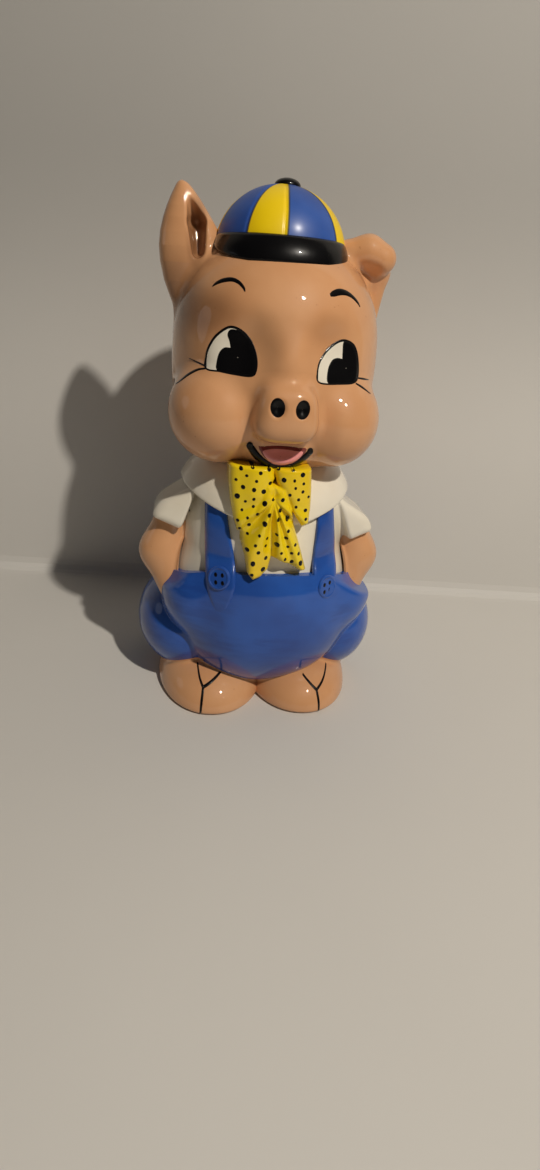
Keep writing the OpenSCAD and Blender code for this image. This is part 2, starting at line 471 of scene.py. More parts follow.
def near_surface(fields, axes, step):
    """Mask of the grid nodes in the blocks that the surface may pass through."""
    block, half_diagonal, steepest = 8, 0.87, 1.8
    size = [len(a) for a in axes]
    counts = [math.ceil((n - 1) / block) for n in size]
    centres = [a[0] + (np.arange(c) + 0.5) * block * step for a, c in zip(axes, counts)]
    mesh = np.stack(np.meshgrid(*centres, indexing="ij"), -1).reshape(-1, 3)
    value = np.max([f(mesh) for f in fields], axis=0)
    hot = np.abs(value) < block * step * half_diagonal * steepest
    mask = np.zeros(size, bool)
    for i, j, k in np.array(np.unravel_index(np.nonzero(hot)[0], counts)).T * block:
        mask[i:i + block + 1, j:j + block + 1, k:k + block + 1] = True
    return mask


def net(fields, lo, hi, step):
    """Dual mesh of the space where every field is below zero: points, quads, owner fields."""
    step = step * COARSE
    axes = [np.arange(a - 2 * step, b + 3 * step, step) for a, b in zip(lo, hi)]
    mask = near_surface(fields, axes, step)
    index = np.full(mask.shape, -1)
    index[mask] = np.arange(mask.sum())
    ijk = np.argwhere(mask)
    P = np.stack([axes[d][ijk[:, d]] for d in range(3)], -1)
    values = np.stack([f(P) for f in fields], -1)
    inside = values.max(1) < 0

    crossings, owners, quads = [], [], []
    shape = np.array(mask.shape)
    for d in range(3):
        ahead = np.zeros(3, int)
        ahead[d] = 1
        ok = ijk[:, d] + 1 < shape[d]
        a = np.nonzero(ok)[0]
        b = index[tuple((ijk[a] + ahead).T)]
        a, b = a[b >= 0], b[b >= 0]
        cut = inside[a] != inside[b]
        a, b = a[cut], b[cut]
        start, end = np.where(inside[a], (a, b), (b, a))
        va, vb = values[start], values[end]
        t = np.where(vb > 0, va / (va - vb), 9.0)
        who = t.argmin(1)
        t = np.clip(t.min(1), 0, 1)
        crossings.append(P[start] + t[:, None] * (P[end] - P[start]))
        owners.append(who)
        u, v = [e for e in range(3) if e != d]
        du, dv = np.zeros(3, int), np.zeros(3, int)
        du[u], dv[v] = 1, 1
        base = ijk[a]
        around = [base - du - dv, base - dv, base, base - du]
        ring = np.stack([np.ravel_multi_index(np.maximum(c, 0).T, mask.shape) for c in around], 1)
        flip = inside[a] == (d != 1)
        ring[flip] = ring[flip][:, ::-1]
        quads.append(ring)
    crossings, owners, quads = np.vstack(crossings), np.concatenate(owners), np.vstack(quads)
    used, quads = np.unique(quads, return_inverse=True)
    quads = quads.reshape(-1, 4)
    points = np.zeros((len(used), 3))
    hits = np.zeros(len(used))
    sharp = np.zeros((len(used), len(fields)), bool)
    for c in range(4):
        np.add.at(points, quads[:, c], crossings)
        np.add.at(hits, quads[:, c], 1)
        sharp[quads[:, c], owners] = True
    points /= hits[:, None]
    return settle(fields, points, quads[:, ::-1], sharp, step)


def relax(points, quads, amount):
    """Each point moves towards the mean of its neighbours."""
    total, count = np.zeros_like(points), np.zeros(len(points))
    for c in range(4):
        for e in (1, 3):
            np.add.at(total, quads[:, c], points[quads[:, (c + e) % 4]])
            np.add.at(count, quads[:, c], 1)
    return points + amount * (total / count[:, None] - points)


def newton(fields, points, sharp, reach, rounds):
    """Moves each point onto all the fields that meet in its cell."""
    start, damping = points.copy(), 0.004
    for _ in range(rounds):
        for count in np.unique(sharp.sum(1)):
            group = np.nonzero(sharp.sum(1) == count)[0]
            if count == 0:
                continue
            p = points[group]
            value = np.zeros((len(group), count))
            slope = np.zeros((len(group), count, 3))
            order = np.argsort(~sharp[group], axis=1, kind="stable")[:, :count]
            for k, f in enumerate(fields):
                row, col = np.nonzero(order == k)
                if len(row):
                    here = f(p[row])
                    value[row, col] = here
                    for axis, d in enumerate(NUDGE * np.eye(3)):
                        slope[row, col, axis] = (f(p[row] + d) - here) / NUDGE
            JJ = np.einsum("nij,nkj->nik", slope, slope) + damping * np.eye(count)
            step = np.linalg.solve(JJ, -value[..., None])
            points[group] = p + np.einsum("nij,ni->nj", slope, step[..., 0])
        move = points - start
        length = np.linalg.norm(move, axis=1, keepdims=True)
        points = start + move * np.minimum(1, reach / np.maximum(length, 1e-9))
    return points


def settle(fields, points, quads, sharp, step):
    """Evens the mesh out, then snaps it onto its fields, and onto a crease it still crosses."""
    points = newton(fields, points, sharp, 1.2 * step, 1)
    points = relax(points, quads, 0.5)
    points = newton(fields, points, sharp, 1.2 * step, 2)
    over = np.stack([f(points) for f in fields], 1) > 0.04 * step
    late = (over & ~sharp).any(1)
    sharp[late] |= over[late]
    points = newton(fields, points, sharp, 1.2 * step, 2)
    return points, quads, sharp


def split(points, quads, sharp):
    """Triangles; a quad that a crease crosses is cut along it."""
    crease = sharp.sum(1) > 1
    c = crease[quads]
    a = quads[:, [0, 1, 2, 0, 2, 3]].reshape(-1, 2, 3)
    b = quads[:, [1, 2, 3, 1, 3, 0]].reshape(-1, 2, 3)

    def bend(t):
        p = points[t]
        n = np.cross(p[:, :, 1] - p[:, :, 0], p[:, :, 2] - p[:, :, 0])
        return np.einsum("ij,ij->i", unit(n[:, 0]), unit(n[:, 1]))

    use_a = bend(a) >= bend(b)
    first = c[:, 0] & c[:, 2] & ~(c[:, 1] & c[:, 3])
    second = c[:, 1] & c[:, 3] & ~(c[:, 0] & c[:, 2])
    use_a = np.where(first, True, np.where(second, False, use_a))
    return np.where(use_a[:, None, None], a, b).reshape(-1, 3)


def corner_normals(fields, points, tris, sharp):
    """Smooth normals taken from the field that each triangle belongs to."""
    slope = np.zeros((len(points), len(fields), 3))
    for k, f in enumerate(fields):
        rows = np.nonzero(sharp[:, k])[0]
        if len(rows):
            slope[rows, k] = unit(gradient(f, points[rows]))
    p = points[tris]
    flat = unit(np.cross(p[:, 1] - p[:, 0], p[:, 2] - p[:, 0]))
    shared = sharp[tris].sum(1)
    fit = np.einsum("tckj,tj->tk", slope[tris], flat) / np.maximum(shared, 1) + 2.0 * (shared == 3)
    fit = np.where(shared > 0, fit, -9)
    owner = fit.argmax(1)
    normals = slope[tris, owner[:, None]]
    have = sharp[tris, owner[:, None]]
    normals = np.where(have[..., None], normals, flat[:, None])
    wrong = np.einsum("tcj,tj->tc", normals, flat) < 0.2
    return np.where(wrong[..., None], flat[:, None], normals), owner


# ---- Blender pieces

def add_object(name, data):
    obj = bpy.data.objects.new(name, data)
    bpy.context.scene.collection.objects.link(obj)
    return obj


def make_mesh(name, points, faces, normals=None, materials=(), face_material=None):
    """A mesh object from points in field millimetres."""
    data = bpy.data.meshes.new(name)
    faces = np.asarray(faces)
    sides = faces.shape[1]
    data.vertices.add(len(points))
    world = (np.asarray(points) + [0, AXIS_Y, 0]) * MM
    data.vertices.foreach_set("co", world.astype(np.float32).ravel())
    data.loops.add(faces.size)
    data.loops.foreach_set("vertex_index", faces.astype(np.int32).ravel())
    data.polygons.add(len(faces))
    data.polygons.foreach_set("loop_start", np.arange(0, faces.size, sides, dtype=np.int32))
    for m in materials:
        data.materials.append(m)
    if face_material is not None:
        data.polygons.foreach_set("material_index", np.asarray(face_material, np.int32))
    data.update(calc_edges=True)
    data.polygons.foreach_set("use_smooth", np.ones(len(faces), bool))
    if normals is not None:
        data.normals_split_custom_set(np.asarray(normals, np.float32).reshape(-1, 3))
    return add_object(name, data)


def enrol(obj, body, slot, nodes=()):
    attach(obj, body)
    if nodes:
        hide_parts(*nodes)
    return obj


def slot_of(material):
    """The record's slot: Blender numbers a name that the frame already holds."""
    return material.name.split(".")[0]


def sculpt(name, fields, lo, hi, step, material, bare=None):
    """Meshes a piece's fields between two corners and puts it in place of its CAD node.

    `bare` picks the faces that stay bare clay, by their middles and their owner fields.
    """
    points, quads, sharp = net(fields, lo, hi, step)
    tris = split(points, quads, sharp)
    p = points[tris]
    area = np.linalg.norm(np.cross(p[:, 1] - p[:, 0], p[:, 2] - p[:, 0]), axis=1)
    tris = tris[area > 1e-6]
    normals, owner = corner_normals(fields, points, tris, sharp)
    clay = bare(points[tris].mean(1), owner) if bare else None
    obj = make_mesh(name, points, tris, normals, [material] + [BISQUE] * bool(bare), clay)
    return enrol(obj, "bank", slot_of(material), [name])


# ---- materials

class Nodes:
    """Short hand for building a node material."""

    def __init__(self, name):
        self.material = bpy.data.materials.new(name)
        self.material.use_nodes = True
        self.tree = self.material.node_tree
        self.tree.nodes.clear()
        self.out = self.add("ShaderNodeOutputMaterial")
        self.place = self.add("ShaderNodeTexCoord").outputs["Object"]

    def add(self, kind, **inputs):
        node = self.tree.nodes.new(kind)
        for key, value in inputs.items():
            self.put(node, key.replace("_", " "), value)
        return node

    def put(self, node, key, value):
        socket = node.inputs[key]
        if isinstance(value, bpy.types.NodeSocket):
            self.tree.links.new(value, socket)
        else:
            socket.default_value = value

    def math(self, op, a, b=0.0, c=0.0):
        node = self.add("ShaderNodeMath")
        node.operation = op
        for i, v in enumerate((a, b, c)):
            self.put(node, i, v)
        return node.outputs[0]

    def times(self, a, b):
        return self.math("MULTIPLY", a, b)

    def length(self, a, b):
        return self.math("SQRT", self.math("ADD", self.times(a, a), self.times(b, b)))

    def rest(self, a):
        return self.math("SUBTRACT", 1.0, a)

    def xyz(self):
        return self.add("ShaderNodeSeparateXYZ", Vector=self.place).outputs

    def noise(self, scale, detail=2.0, rough=0.5, where=None):
        node = self.add("ShaderNodeTexNoise", Vector=where or self.place, Scale=scale,
                        Detail=detail, Roughness=rough)
        return node.outputs["Fac"]

    def ramp(self, value, low, high):
        node = self.add("ShaderNodeMapRange", Value=value, From_Min=low, From_Max=high)
        node.interpolation_type = "SMOOTHSTEP"
        return node.outputs["Result"]

    def mix(self, factor, a, b):
        node = self.add("ShaderNodeMix")
        node.data_type = "RGBA"
        for i, v in ((0, factor), (6, a), (7, b)):
            self.put(node, i, v)
        return node.outputs[2]

    def bump(self, height, strength, distance, under=None):
        node = self.add("ShaderNodeBump", Height=height, Strength=strength, Distance=distance)
        if under is not None:
            self.put(node, "Normal", under)
        return node.outputs["Normal"]

    def finish(self, **inputs):
        shader = self.add("ShaderNodeBsdfPrincipled", **inputs)
        self.put(self.out, "Surface", shader.outputs[0])
        return self.material


def linear(r, g, b):
    """Linear colour from the 0-255 values that a screen shows."""
    shown = (r / 255, g / 255, b / 255)
    return tuple(c / 12.92 if c <= 0.04045 else ((c + 0.055) / 1.055) ** 2.4 for c in shown) + (1.0,)


# brown of the painted shade laid round the eye sockets, down the shaded side of the head and in the ear
# cup
PAINTED_SHADE_BROWN = linear(96, 56, 26)


def glaze(name, colour, pooled, streak=0.0, worn=None, painted_shades=(), base_rough=0.5, coat=1.0,
          coat_ior=1.5):
    """Underglaze colour beneath a clear glaze.

    The colour drifts softly, pools darker in blotches, and on brushed areas shows level
    streaks. The clear glaze has a faint orange peel and a few pinholes. `painted_shades` holds
    soft brown patches of painted shade, each with its middle x, z, its half width and height,
    and its strength.
    """
    n = Nodes(name)
    drift = n.ramp(n.noise(22.0, 3.0, 0.55), 0.35, 0.7)
    tone = n.mix(n.times(drift, 0.55), colour, pooled)
    if streak:
        level = n.add("ShaderNodeMapping", Vector=n.place, Scale=(26.0, 26.0, 150.0))
        strokes = n.noise(1.0, 4.0, 0.62, where=level.outputs[0])
        patch = n.ramp(n.noise(34.0, 2.0, 0.5), 0.4, 0.62)
        amount = n.times(n.times(n.ramp(strokes, 0.38, 0.66), patch), streak)
        tone = n.mix(amount, tone, pooled)
    if worn:
        speck = n.ramp(n.noise(260.0, 2.0, 0.6), 0.70, 0.78)
        tone = n.mix(n.times(speck, 0.35), tone, worn)
    # painted shade: each patch darkens the front of the piece towards the shade brown
    for x, z, wide, high, strength in painted_shades:
        place = n.xyz()
        across = n.math("DIVIDE", n.math("SUBTRACT", place[0], x * MM), wide * MM)
        up = n.math("DIVIDE", n.math("SUBTRACT", place[2], z * MM), high * MM)
        front = n.rest(n.ramp(place[1], 0.0085, 0.012))
        shade = n.times(n.rest(n.ramp(n.length(across, up), 0.2, 1.0)), front)
        tone = n.mix(n.times(shade, strength), tone, PAINTED_SHADE_BROWN)
    holes = n.add("ShaderNodeTexVoronoi", Vector=n.place, Scale=140.0)
    pin = n.ramp(holes.outputs["Distance"], 0.035, 0.075)
    peel = n.bump(n.noise(190.0, 2.0, 0.5), 0.10, 0.0006)
    wave = n.bump(n.noise(48.0, 1.0, 0.4), 0.16, 0.0016, under=peel)
    pitted = n.bump(pin, 0.25, 0.0002, under=wave)
    rough = n.math("MULTIPLY_ADD", n.noise(60.0, 2.0, 0.6), 0.14, base_rough - 0.07)
    return n.finish(
        Base_Color=tone, Roughness=rough, Normal=wave, Specular_IOR_Level=0.15,
        Coat_Weight=coat, Coat_Roughness=0.03, Coat_IOR=coat_ior, Coat_Normal=pitted,
    )


def panelled(name, yellow, blue):
    """The cap: eight sewn panels, yellow and blue in turn, with thin dark seams."""
    n = Nodes(name)
    place = n.xyz()
    x, back = place[0], n.math("SUBTRACT", AXIS_Y * MM, place[1])
    turn = n.math("DIVIDE", n.math("ARCTAN2", x, back), 2 * math.pi)
    wobble = n.times(n.math("SUBTRACT", n.noise(60.0, 1.0), 0.5), 0.004)
    turn = n.math("FRACT", n.math("ADD", n.math("ADD", turn, wobble), 1.0))
    seams = sorted((s % 360) / 360 for s in SEAMS)
    cell, near = 0.0, 1.0
    for at in seams:
        cell = n.math("ADD", cell, n.math("GREATER_THAN", turn, at))
        gap = n.math("ABSOLUTE", n.math("SUBTRACT", turn, at))
        near = n.math("MINIMUM", near, n.math("MINIMUM", gap, n.rest(gap)))
    front_cell = seams.index((SEAMS[1] % 360) / 360)
    odd = n.math("FLOORED_MODULO", n.math("ADD", cell, (front_cell + 1) % 2), 2.0)
    is_yellow = n.math("GREATER_THAN", odd, 0.5)
    width = n.times(n.times(near, 2 * math.pi), n.length(x, back))
    seam = n.rest(n.ramp(width, 0.0002, 0.0007))
    drift = n.ramp(n.noise(30.0, 3.0, 0.55), 0.35, 0.7)
    light = n.mix(n.times(drift, 0.5), *yellow)
    dark = n.mix(n.times(drift, 0.6), *blue)
    tone = n.mix(is_yellow, dark, light)
    tone = n.mix(n.times(seam, 0.8), tone, linear(28, 32, 44))
    wave = n.bump(n.noise(70.0, 2.0, 0.5), 0.14, 0.001)
    rough = n.math("MULTIPLY_ADD", n.noise(80.0, 2.0, 0.6), 0.16, 0.42)
    return n.finish(Base_Color=tone, Roughness=rough, Normal=wave, Specular_IOR_Level=0.35,
                    Coat_Weight=0.3, Coat_Roughness=0.25, Coat_IOR=1.5)


def bisque(name):
    """Bare fired clay under the feet and inside."""
    n = Nodes(name)
    grain = n.noise(900.0, 3.0, 0.65)
    stain = n.ramp(n.noise(40.0, 4.0, 0.6), 0.4, 0.75)
    tone = n.mix(n.times(stain, 0.4), linear(226, 212, 190), linear(186, 166, 138))
    tone = n.mix(n.times(n.ramp(grain, 0.6, 0.75), 0.25), tone, linear(150, 130, 104))
    return n.finish(Base_Color=tone, Roughness=0.92, Normal=n.bump(grain, 0.35, 0.0004))


def rubber(name):
    """Dusty black rubber."""
    n = Nodes(name)
    dust = n.ramp(n.noise(120.0, 4.0, 0.7), 0.5, 0.75)
    tone = n.mix(n.times(dust, 0.35), linear(48, 47, 46), linear(92, 88, 82))
    ridge = n.bump(n.noise(700.0, 2.0, 0.6), 0.25, 0.0003)
    return n.finish(Base_Color=tone, Roughness=0.62, Normal=ridge)


# the skin carries painted shade: round the eye sockets, on the shaded side of the head, and deep in the
# upright ear's cup
SKIN = glaze("skin_glaze", linear(216, 161, 115), linear(200, 140, 92), worn=linear(160, 100, 60),
             painted_shades=[(-40, 229, 21, 17, 0.52), (-56, 236, 17, 32, 0.5), (-10, 223, 17, 16, 0.16),
                      (17, 226, 17, 11, 0.15), (-47.5, 268, 7, 25, 0.8)])
BLUE = glaze("blue_glaze", linear(38, 90, 178), linear(24, 58, 132), streak=0.5)
WHITE = glaze("white_glaze", linear(238, 231, 214), linear(222, 212, 190))
YELLOW = glaze("yellow_glaze", linear(246, 216, 14), linear(226, 184, 6))
BLACK = glaze("black_glaze", linear(12, 11, 12), linear(5, 5, 6), base_rough=0.3, coat=0.6,
              coat_ior=1.25)
TONGUE = glaze("tongue_glaze", linear(244, 160, 156), linear(228, 134, 132))
# the inside of the mouth: dark red paint, darkened further as painted shade under the snout
THROAT_SHADE = glaze("throat_shade_glaze", linear(128, 48, 40), linear(96, 30, 26))
CAP = panelled("cap_glaze", (linear(244, 208, 0), linear(220, 178, 0)),
               (linear(46, 86, 164), linear(30, 60, 130)))
BISQUE = bisque("bisque")
RUBBER = rubber("stopper_rubber")


# ---- the pieces

FINE, MID, SHELL = 0.75, 1.15, 1.5   # mesh steps
TINY = FINE * 0.7


def make_shells():
    """The hollow bodies, each in a front and a back half."""
    reach = 66.0
    for end, half in ((-1, "front"), (1, "back")):
        y0, y1 = (-reach - 6, 0) if end < 0 else (0, reach)
        side = lambda P: -end * P[:, 1]
        sculpt(f"head_{half}", [face, side, lambda P: -head_ball(P, -WALL), lambda P: NECK_Z - P[:, 2]],
               [-reach, y0, NECK_Z], [reach, y1, 272], SHELL, SKIN, lambda p, owner: owner > 0)
        sculpt(
            f"shirt_{half}",
            [shirt_ball, side, lambda P: -torso_ball(P, -WALL), lambda P: hem_z(P) - P[:, 2],
             lambda P: P[:, 2] - NECK_Z] + [coin_gap] * (end > 0),
            [-SHIRT_R - 6, y0, HEM_Z - 13], [SHIRT_R + 6, y1, NECK_Z], SHELL, WHITE,
            lambda p, owner: (owner != 0) & (owner != 5),
        )
        sculpt(
            f"overalls_{half}",
            [overalls, side, lambda P: -belly_ball(P, -WALL), lambda P: PLATE_HI[2] - P[:, 2]],
            [-BELLY_R, y0, PLATE_HI[2]], [BELLY_R, y1, HEM_Z + 2], SHELL, BLUE,
            lambda p, owner: (owner > 0) | (p[:, 2] < PLATE_HI[2] + 1),
        )


def side_box(s, x, y, z):
    """Corners of a box on one side of the pig."""
    return list(zip(sorted((s * x[0], s * x[1])), y, z))


def make_limbs():
    for s, side in SIDES.items():
        leg, foot, bag = leg_form(s), foot_form(s), pocket_form(s)
        sculpt(f"trouser_leg_{side}", grown(belly_ball, leg, 1.5) + [lambda P: PLATE_HI[2] - P[:, 2]],
               *side_box(s, (2, 78), (-44, 52), (8, 78)), MID, BLUE)
        sculpt(
            f"foot_{side}",
            grown(lambda P: smin(belly_ball(P), leg(P), 1.5), foot, 2.5) + [
                lambda P: -P[:, 2],
                lambda P: -np.maximum(np.hypot(P[:, 0], P[:, 1]) - PLATE_R, P[:, 2] - PLATE_HI[2]),
                lambda P: -s * P[:, 0],
            ],
            *side_box(s, (0, 62), (-60, 44), (0, 36)), MID, SKIN,
            lambda p, owner: (owner == 3) | (p[:, 2] < 0.6),
        )
        sculpt(
            f"pocket_{side}",
            [
                lambda P: smin(smin(belly_ball(P), bag(P), 8), leg(P), 1.2),
                lambda P: bag(P) - belly_ball(P) - 7.3,
                lambda P: bag(P) - leg(P) - 1.1,
                outside(lambda P: np.minimum(belly_ball(P), leg(P))),
                lambda P: P[:, 2] - hem_z(P) - 0.3,
            ],
            *side_box(s, (1, 76), (-64, 40), (6, 93)), MID, BLUE,
        )
        sculpt(f"arm_{side}", grown(host_body, arm_form(s), 2),
               *side_box(s, (34, 76), (-36, 12), (50, 118)), MID, SKIN)
        sculpt(f"sleeve_{side}", grown(torso_ball, sleeve_form(s), 2 if s < 0 else 7),
               *side_box(s, (34, 71), (-30, 22), (94, 132)), MID, WHITE)
        sculpt(f"strap_{side}", [strap_form(s), outside(host_body, 1)],
               *side_box(s, (18, 43), (-64, 60), (60, 152)), MID, BLUE)
        sculpt(f"strap_button_{side}", [strap_button_form(s), outside(host_body, 1)],
               *side_box(s, (18, 46), (-66, -34), (70, 98)), TINY, BLUE)


def make_neck():
    sculpt("collar", [collar_form, outside(torso_ball), lambda P: P[:, 2] - 150],
           [-57, -57, 114], [57, 57, 152], MID, WHITE)
    sculpt("bow_tie", [bow_form, outside(torso_ball)],
           [-30, -70, 86], [24, -34, 156], FINE * 0.85, YELLOW)


def make_head_parts():
    for name, form, lo, hi in (
        ("snout", snout_form, [-24, -74, 166], [24, -38, 206]),
        ("ear_right", upright_ear, [-72, -16, 216], [-28, 18, 302]),
        ("ear_left", folded_ear, [32, -24, 224], [72, 20, 278]),
    ):
        sculpt(name, grown(face, form, 5), lo, hi, FINE, SKIN)


def make_cap():
    on_head, on_crown = outside(head_ball), outside(crown_form)
    button = lambda P: egg(P, [0, 0, CROWN_TOP - 0.6], [7.2, 7.2, 4])
    sculpt("cap_crown", [crown_form, on_head, lambda P: CAP_Z - P[:, 2]],
           [-36, -36, CAP_Z], [36, 36, 298], MID * 0.8, CAP)
    sculpt("cap_brim", [brim_form, on_head, on_crown], [-42, -50, 250], [42, 6, 270], FINE, BLACK)
    sculpt("cap_button", [button, on_crown], [-8, -8, 292], [8, 8, 302], TINY, BLACK)


make_shells()
make_limbs()
make_neck()
make_head_parts()
make_cap()


# ---- painted details

def curve(points, closed, per_span):
    """Catmull-Rom curve through rows of numbers."""
    p = np.array(points, float)
    ends = (p[-1], p[:2]) if closed else (2 * p[0] - p[1], 2 * p[-1] - p[-2])
    p = np.vstack([ends[0], p, ends[1]])
    t = np.linspace(0, 1, per_span, endpoint=False)[:, None]
    spans = []
    for a, b, c, d in zip(p[:-3], p[1:-2], p[2:-1], p[3:]):
        spans.append(0.5 * (2 * b + (c - a) * t + (2 * a - 5 * b + 4 * c - d) * t**2
                            + (3 * b - a - 3 * c + d) * t**3))
    out = np.vstack(spans)
    return out if closed else np.vstack([out, p[-2]])


class Brush:
    """Collects strokes and fills of one colour on one piece, and makes them one mesh."""

    def __init__(self, name, field, material, height, slot=None):
        self.name, self.field, self.material, self.height = name, field, material, height
        self.slot, self.points, self.faces, self.count = slot or slot_of(material), [], [], 0

    def lay(self, x, z, lift, rows, cols, wrap):
        """A sheet of rows by cols points raised by "lift", closed underneath.

        Points that run off the edge of the piece stay level with those on it.
        """
        P = drop_on(self.field, x, z)
        off = np.abs(self.field(P)) > 0.3
        P[off, 1] = P[~off, 1].max()
        out = unit(gradient(self.field, P))
        top = P + out * lift[:, None]
        low = P - out * 0.35
        n = len(P)
        here = np.arange(n).reshape(rows, cols)
        loop = here[-1]
        if not wrap:
            loop = np.concatenate([here[0], here[1:, -1], here[-1, -2::-1], here[-2:0:-1, 0]])
        beside = np.roll(here, -1, axis=1)
        quad = np.stack([here[:-1], beside[:-1], beside[1:], here[1:]], -1)
        quad = (quad if wrap else quad[:, :-1]).reshape(-1, 4)
        wall = np.stack([loop, np.roll(loop, -1), np.roll(loop, -1) + n, loop + n], -1)
        self.points += [top, low]
        self.faces += [f + self.count for f in (quad, quad[:, ::-1] + n, wall[:, ::-1])]
        self.count += 2 * n

    def fill(self, outline, centre=None, rings=8, per_span=6):
        """A filled shape; every outline point is seen from its centre."""
        o = curve(outline, True, per_span)
        c = np.array(centre if centre is not None else o.mean(0), float)
        t = np.concatenate([np.linspace(0.02, 0.94, rings), [1.0]])
        grid = c + t[:, None, None] * (o - c)
        lift = np.repeat(np.where(t < 0.95, self.height, -0.1), len(o))
        self.lay(grid[..., 0].ravel(), grid[..., 1].ravel(), lift, len(t), len(o), True)

    def dot(self, x, z, rx, rz, turn=0.0, sides=14):
        """An oval spot."""
        a = np.linspace(0, 2 * math.pi, sides, endpoint=False)
        u, v = rx * np.cos(a), rz * np.sin(a)
        c, s = math.cos(turn), math.sin(turn)
        self.fill(np.column_stack([x + c * u - s * v, z + s * u + c * v]), (x, z), 3, 1)

    def stroke(self, points):
        """A brush line through (x, z, width) rows."""
        p = curve(points, False, 8)
        along = np.gradient(p[:, :2], axis=0)
        along /= np.linalg.norm(along, axis=1, keepdims=True) + 1e-9
        across = np.column_stack([-along[:, 1], along[:, 0]])
        u = np.array([-1.0, -0.82, -0.3, 0.3, 0.82, 1.0]) / 2
        lift = np.array([0.0, 0.7, 1.0, 1.0, 0.7, 0.0]) * self.height
        lift[[0, -1]] = -0.1
        width = np.maximum(p[:, 2], 0.05)[:, None] * u
        xz = p[:, None, :2] + across[:, None] * width[..., None]
        self.lay(xz[..., 0].ravel(), xz[..., 1].ravel(), np.tile(lift, len(p)), len(p), len(u), False)

    def done(self):
        points, faces = np.vstack(self.points), np.vstack(self.faces)
        return enrol(make_mesh(self.name, points, faces, None, [self.material]), "bank", self.slot)


EYES = {
    "right": dict(
        rim=[(-41, 202), (-41, 208.4), (-39.4, 214), (-36, 219.3), (-30, 223.5), (-23.7, 221.6),
             (-19, 216.2), (-16.5, 209.5), (-16.6, 203.3), (-19, 200.8), (-27, 200.8), (-34, 201.4)],
        pupil=[(-35.6, 201.3), (-36.2, 206), (-35, 210.8), (-32.6, 213.4), (-29.6, 213.6),
               (-29.5, 213.7), (-30.2, 217), (-31.4, 220.2), (-30.2, 222.7), (-27.5, 223),
               (-23.5, 221.5), (-18.9, 216.1), (-16.5, 209.5), (-16.7, 203.4), (-19.2, 200.9),
               (-27, 200.9)],
        core=(-25.5, 209),
    ),
    "left": dict(
        rim=[(14.8, 201), (14.7, 206.2), (16.3, 211.2), (21, 217), (27.5, 220.8), (33.5, 219.4),
             (36.6, 215.2), (38.5, 208.6), (38.9, 202.2), (36, 199.6), (28, 199.1), (18.5, 199.3)],
        pupil=[(20.6, 199.4), (20.2, 206), (22.4, 210.8), (25.4, 212.2), (28.4, 211.8), (28.5, 211.9),
               (28.3, 216), (28.2, 220.2), (29.5, 220.7), (33.4, 219.3), (36.5, 215.1), (38.4, 208.5),
               (38.8, 202.3), (35.9, 199.7), (28, 199.2)],
        core=(31.2, 207),
    ),
}


def paint_face():
    white = Brush("eye_whites", face, WHITE, 0.10)
    black = Brush("eye_lines", face, BLACK, 0.22)
    for eye in EYES.values():
        white.fill(eye["rim"])
        black.fill(eye["pupil"], eye["core"])
        edge = eye["rim"] + eye["rim"][:2]
        black.stroke([(x, z, 0.9 + 0.5 * ease((z - 206) / 12)) for x, z in edge])
    white.done()
    lines = {
        "brow_right": [(-39.2, 242, 0.5), (-37.2, 243.7, 1.5), (-34, 245.3, 2.2), (-30, 246, 2.3),
                       (-26.8, 244.9, 1.9), (-24.6, 242.7, 1.4), (-23.8, 240.9, 0.6)],
        "brow_left": [(18.6, 242.4, 1.6), (20.6, 243.3, 3.2), (24, 244.3, 3.6), (28, 244.1, 2.8),
                      (32, 242.5, 1.9), (35.4, 239.9, 1.3), (37, 237.8, 0.5)],
        "crow_right_up": [(-40.9, 202.9, 0.9), (-45, 204, 0.9), (-49.5, 205.1, 0.3)],
        "crow_right_low": [(-40.9, 201.9, 0.9), (-45, 200.6, 1.1), (-50, 197.2, 1.0), (-56, 191.4, 0.3)],
        "crow_left_up": [(38.9, 202, 0.8), (43.2, 201.2, 1.1), (48, 200.1, 0.3)],
        "crow_left_low": [(37.6, 199.4, 0.8), (42, 197.2, 1.1), (47.5, 193.8, 0.3)],
    }
    for points in lines.values():
        black.stroke(points)
    black.done()


def paint_mouth():
    # dark red inside of the mouth, painted dark as the shade under the snout's overhang
    throat = Brush("mouth_throat_shade", face, THROAT_SHADE, 0.10, "skin_glaze")
    throat.fill([(-12.2, 163.6), (-8, 158), (0, 154.4), (8, 157), (13.6, 162), (13.2, 165), (7, 168),
                 (-6, 168.4), (-11.6, 166.6)], (0, 162))
    throat.done()
    tongue = Brush("mouth_tongue", face, TONGUE, 0.22, "skin_glaze")
    tongue.fill([(-10, 162.4), (-5, 163.2), (1, 163.2), (7, 163), (12.2, 162.6), (9.5, 158), (4, 155.2),
                 (-3, 155), (-7.6, 158.2)], (0, 159.6))
    tongue.done()
    lip = Brush("mouth_lip", face, BLACK, 0.9)
    lip.stroke([(-17, 164.8, 2.6), (-15.6, 162.9, 3.8), (-12, 158.6, 4.0), (-6.4, 154.7, 3.9),
                (0.4, 152.9, 3.7), (7, 154.6, 3.8), (12, 158, 3.9), (15.2, 161.2, 3.8),
                (16.3, 162.8, 2.6)])
    lip.dot(-16.6, 164.5, 1.8, 2.0)
    lip.dot(15.9, 162.7, 1.8, 2.0)
    lip.done()
    holes = Brush("nostril_glaze", skin, BLACK, 0.15)
    holes.dot(-6.3, 188.4, 3.7, 4.9, 0.1, 28)
    holes.dot(6.3, 188.0, 3.7, 4.9, -0.1, 28)
    holes.done()


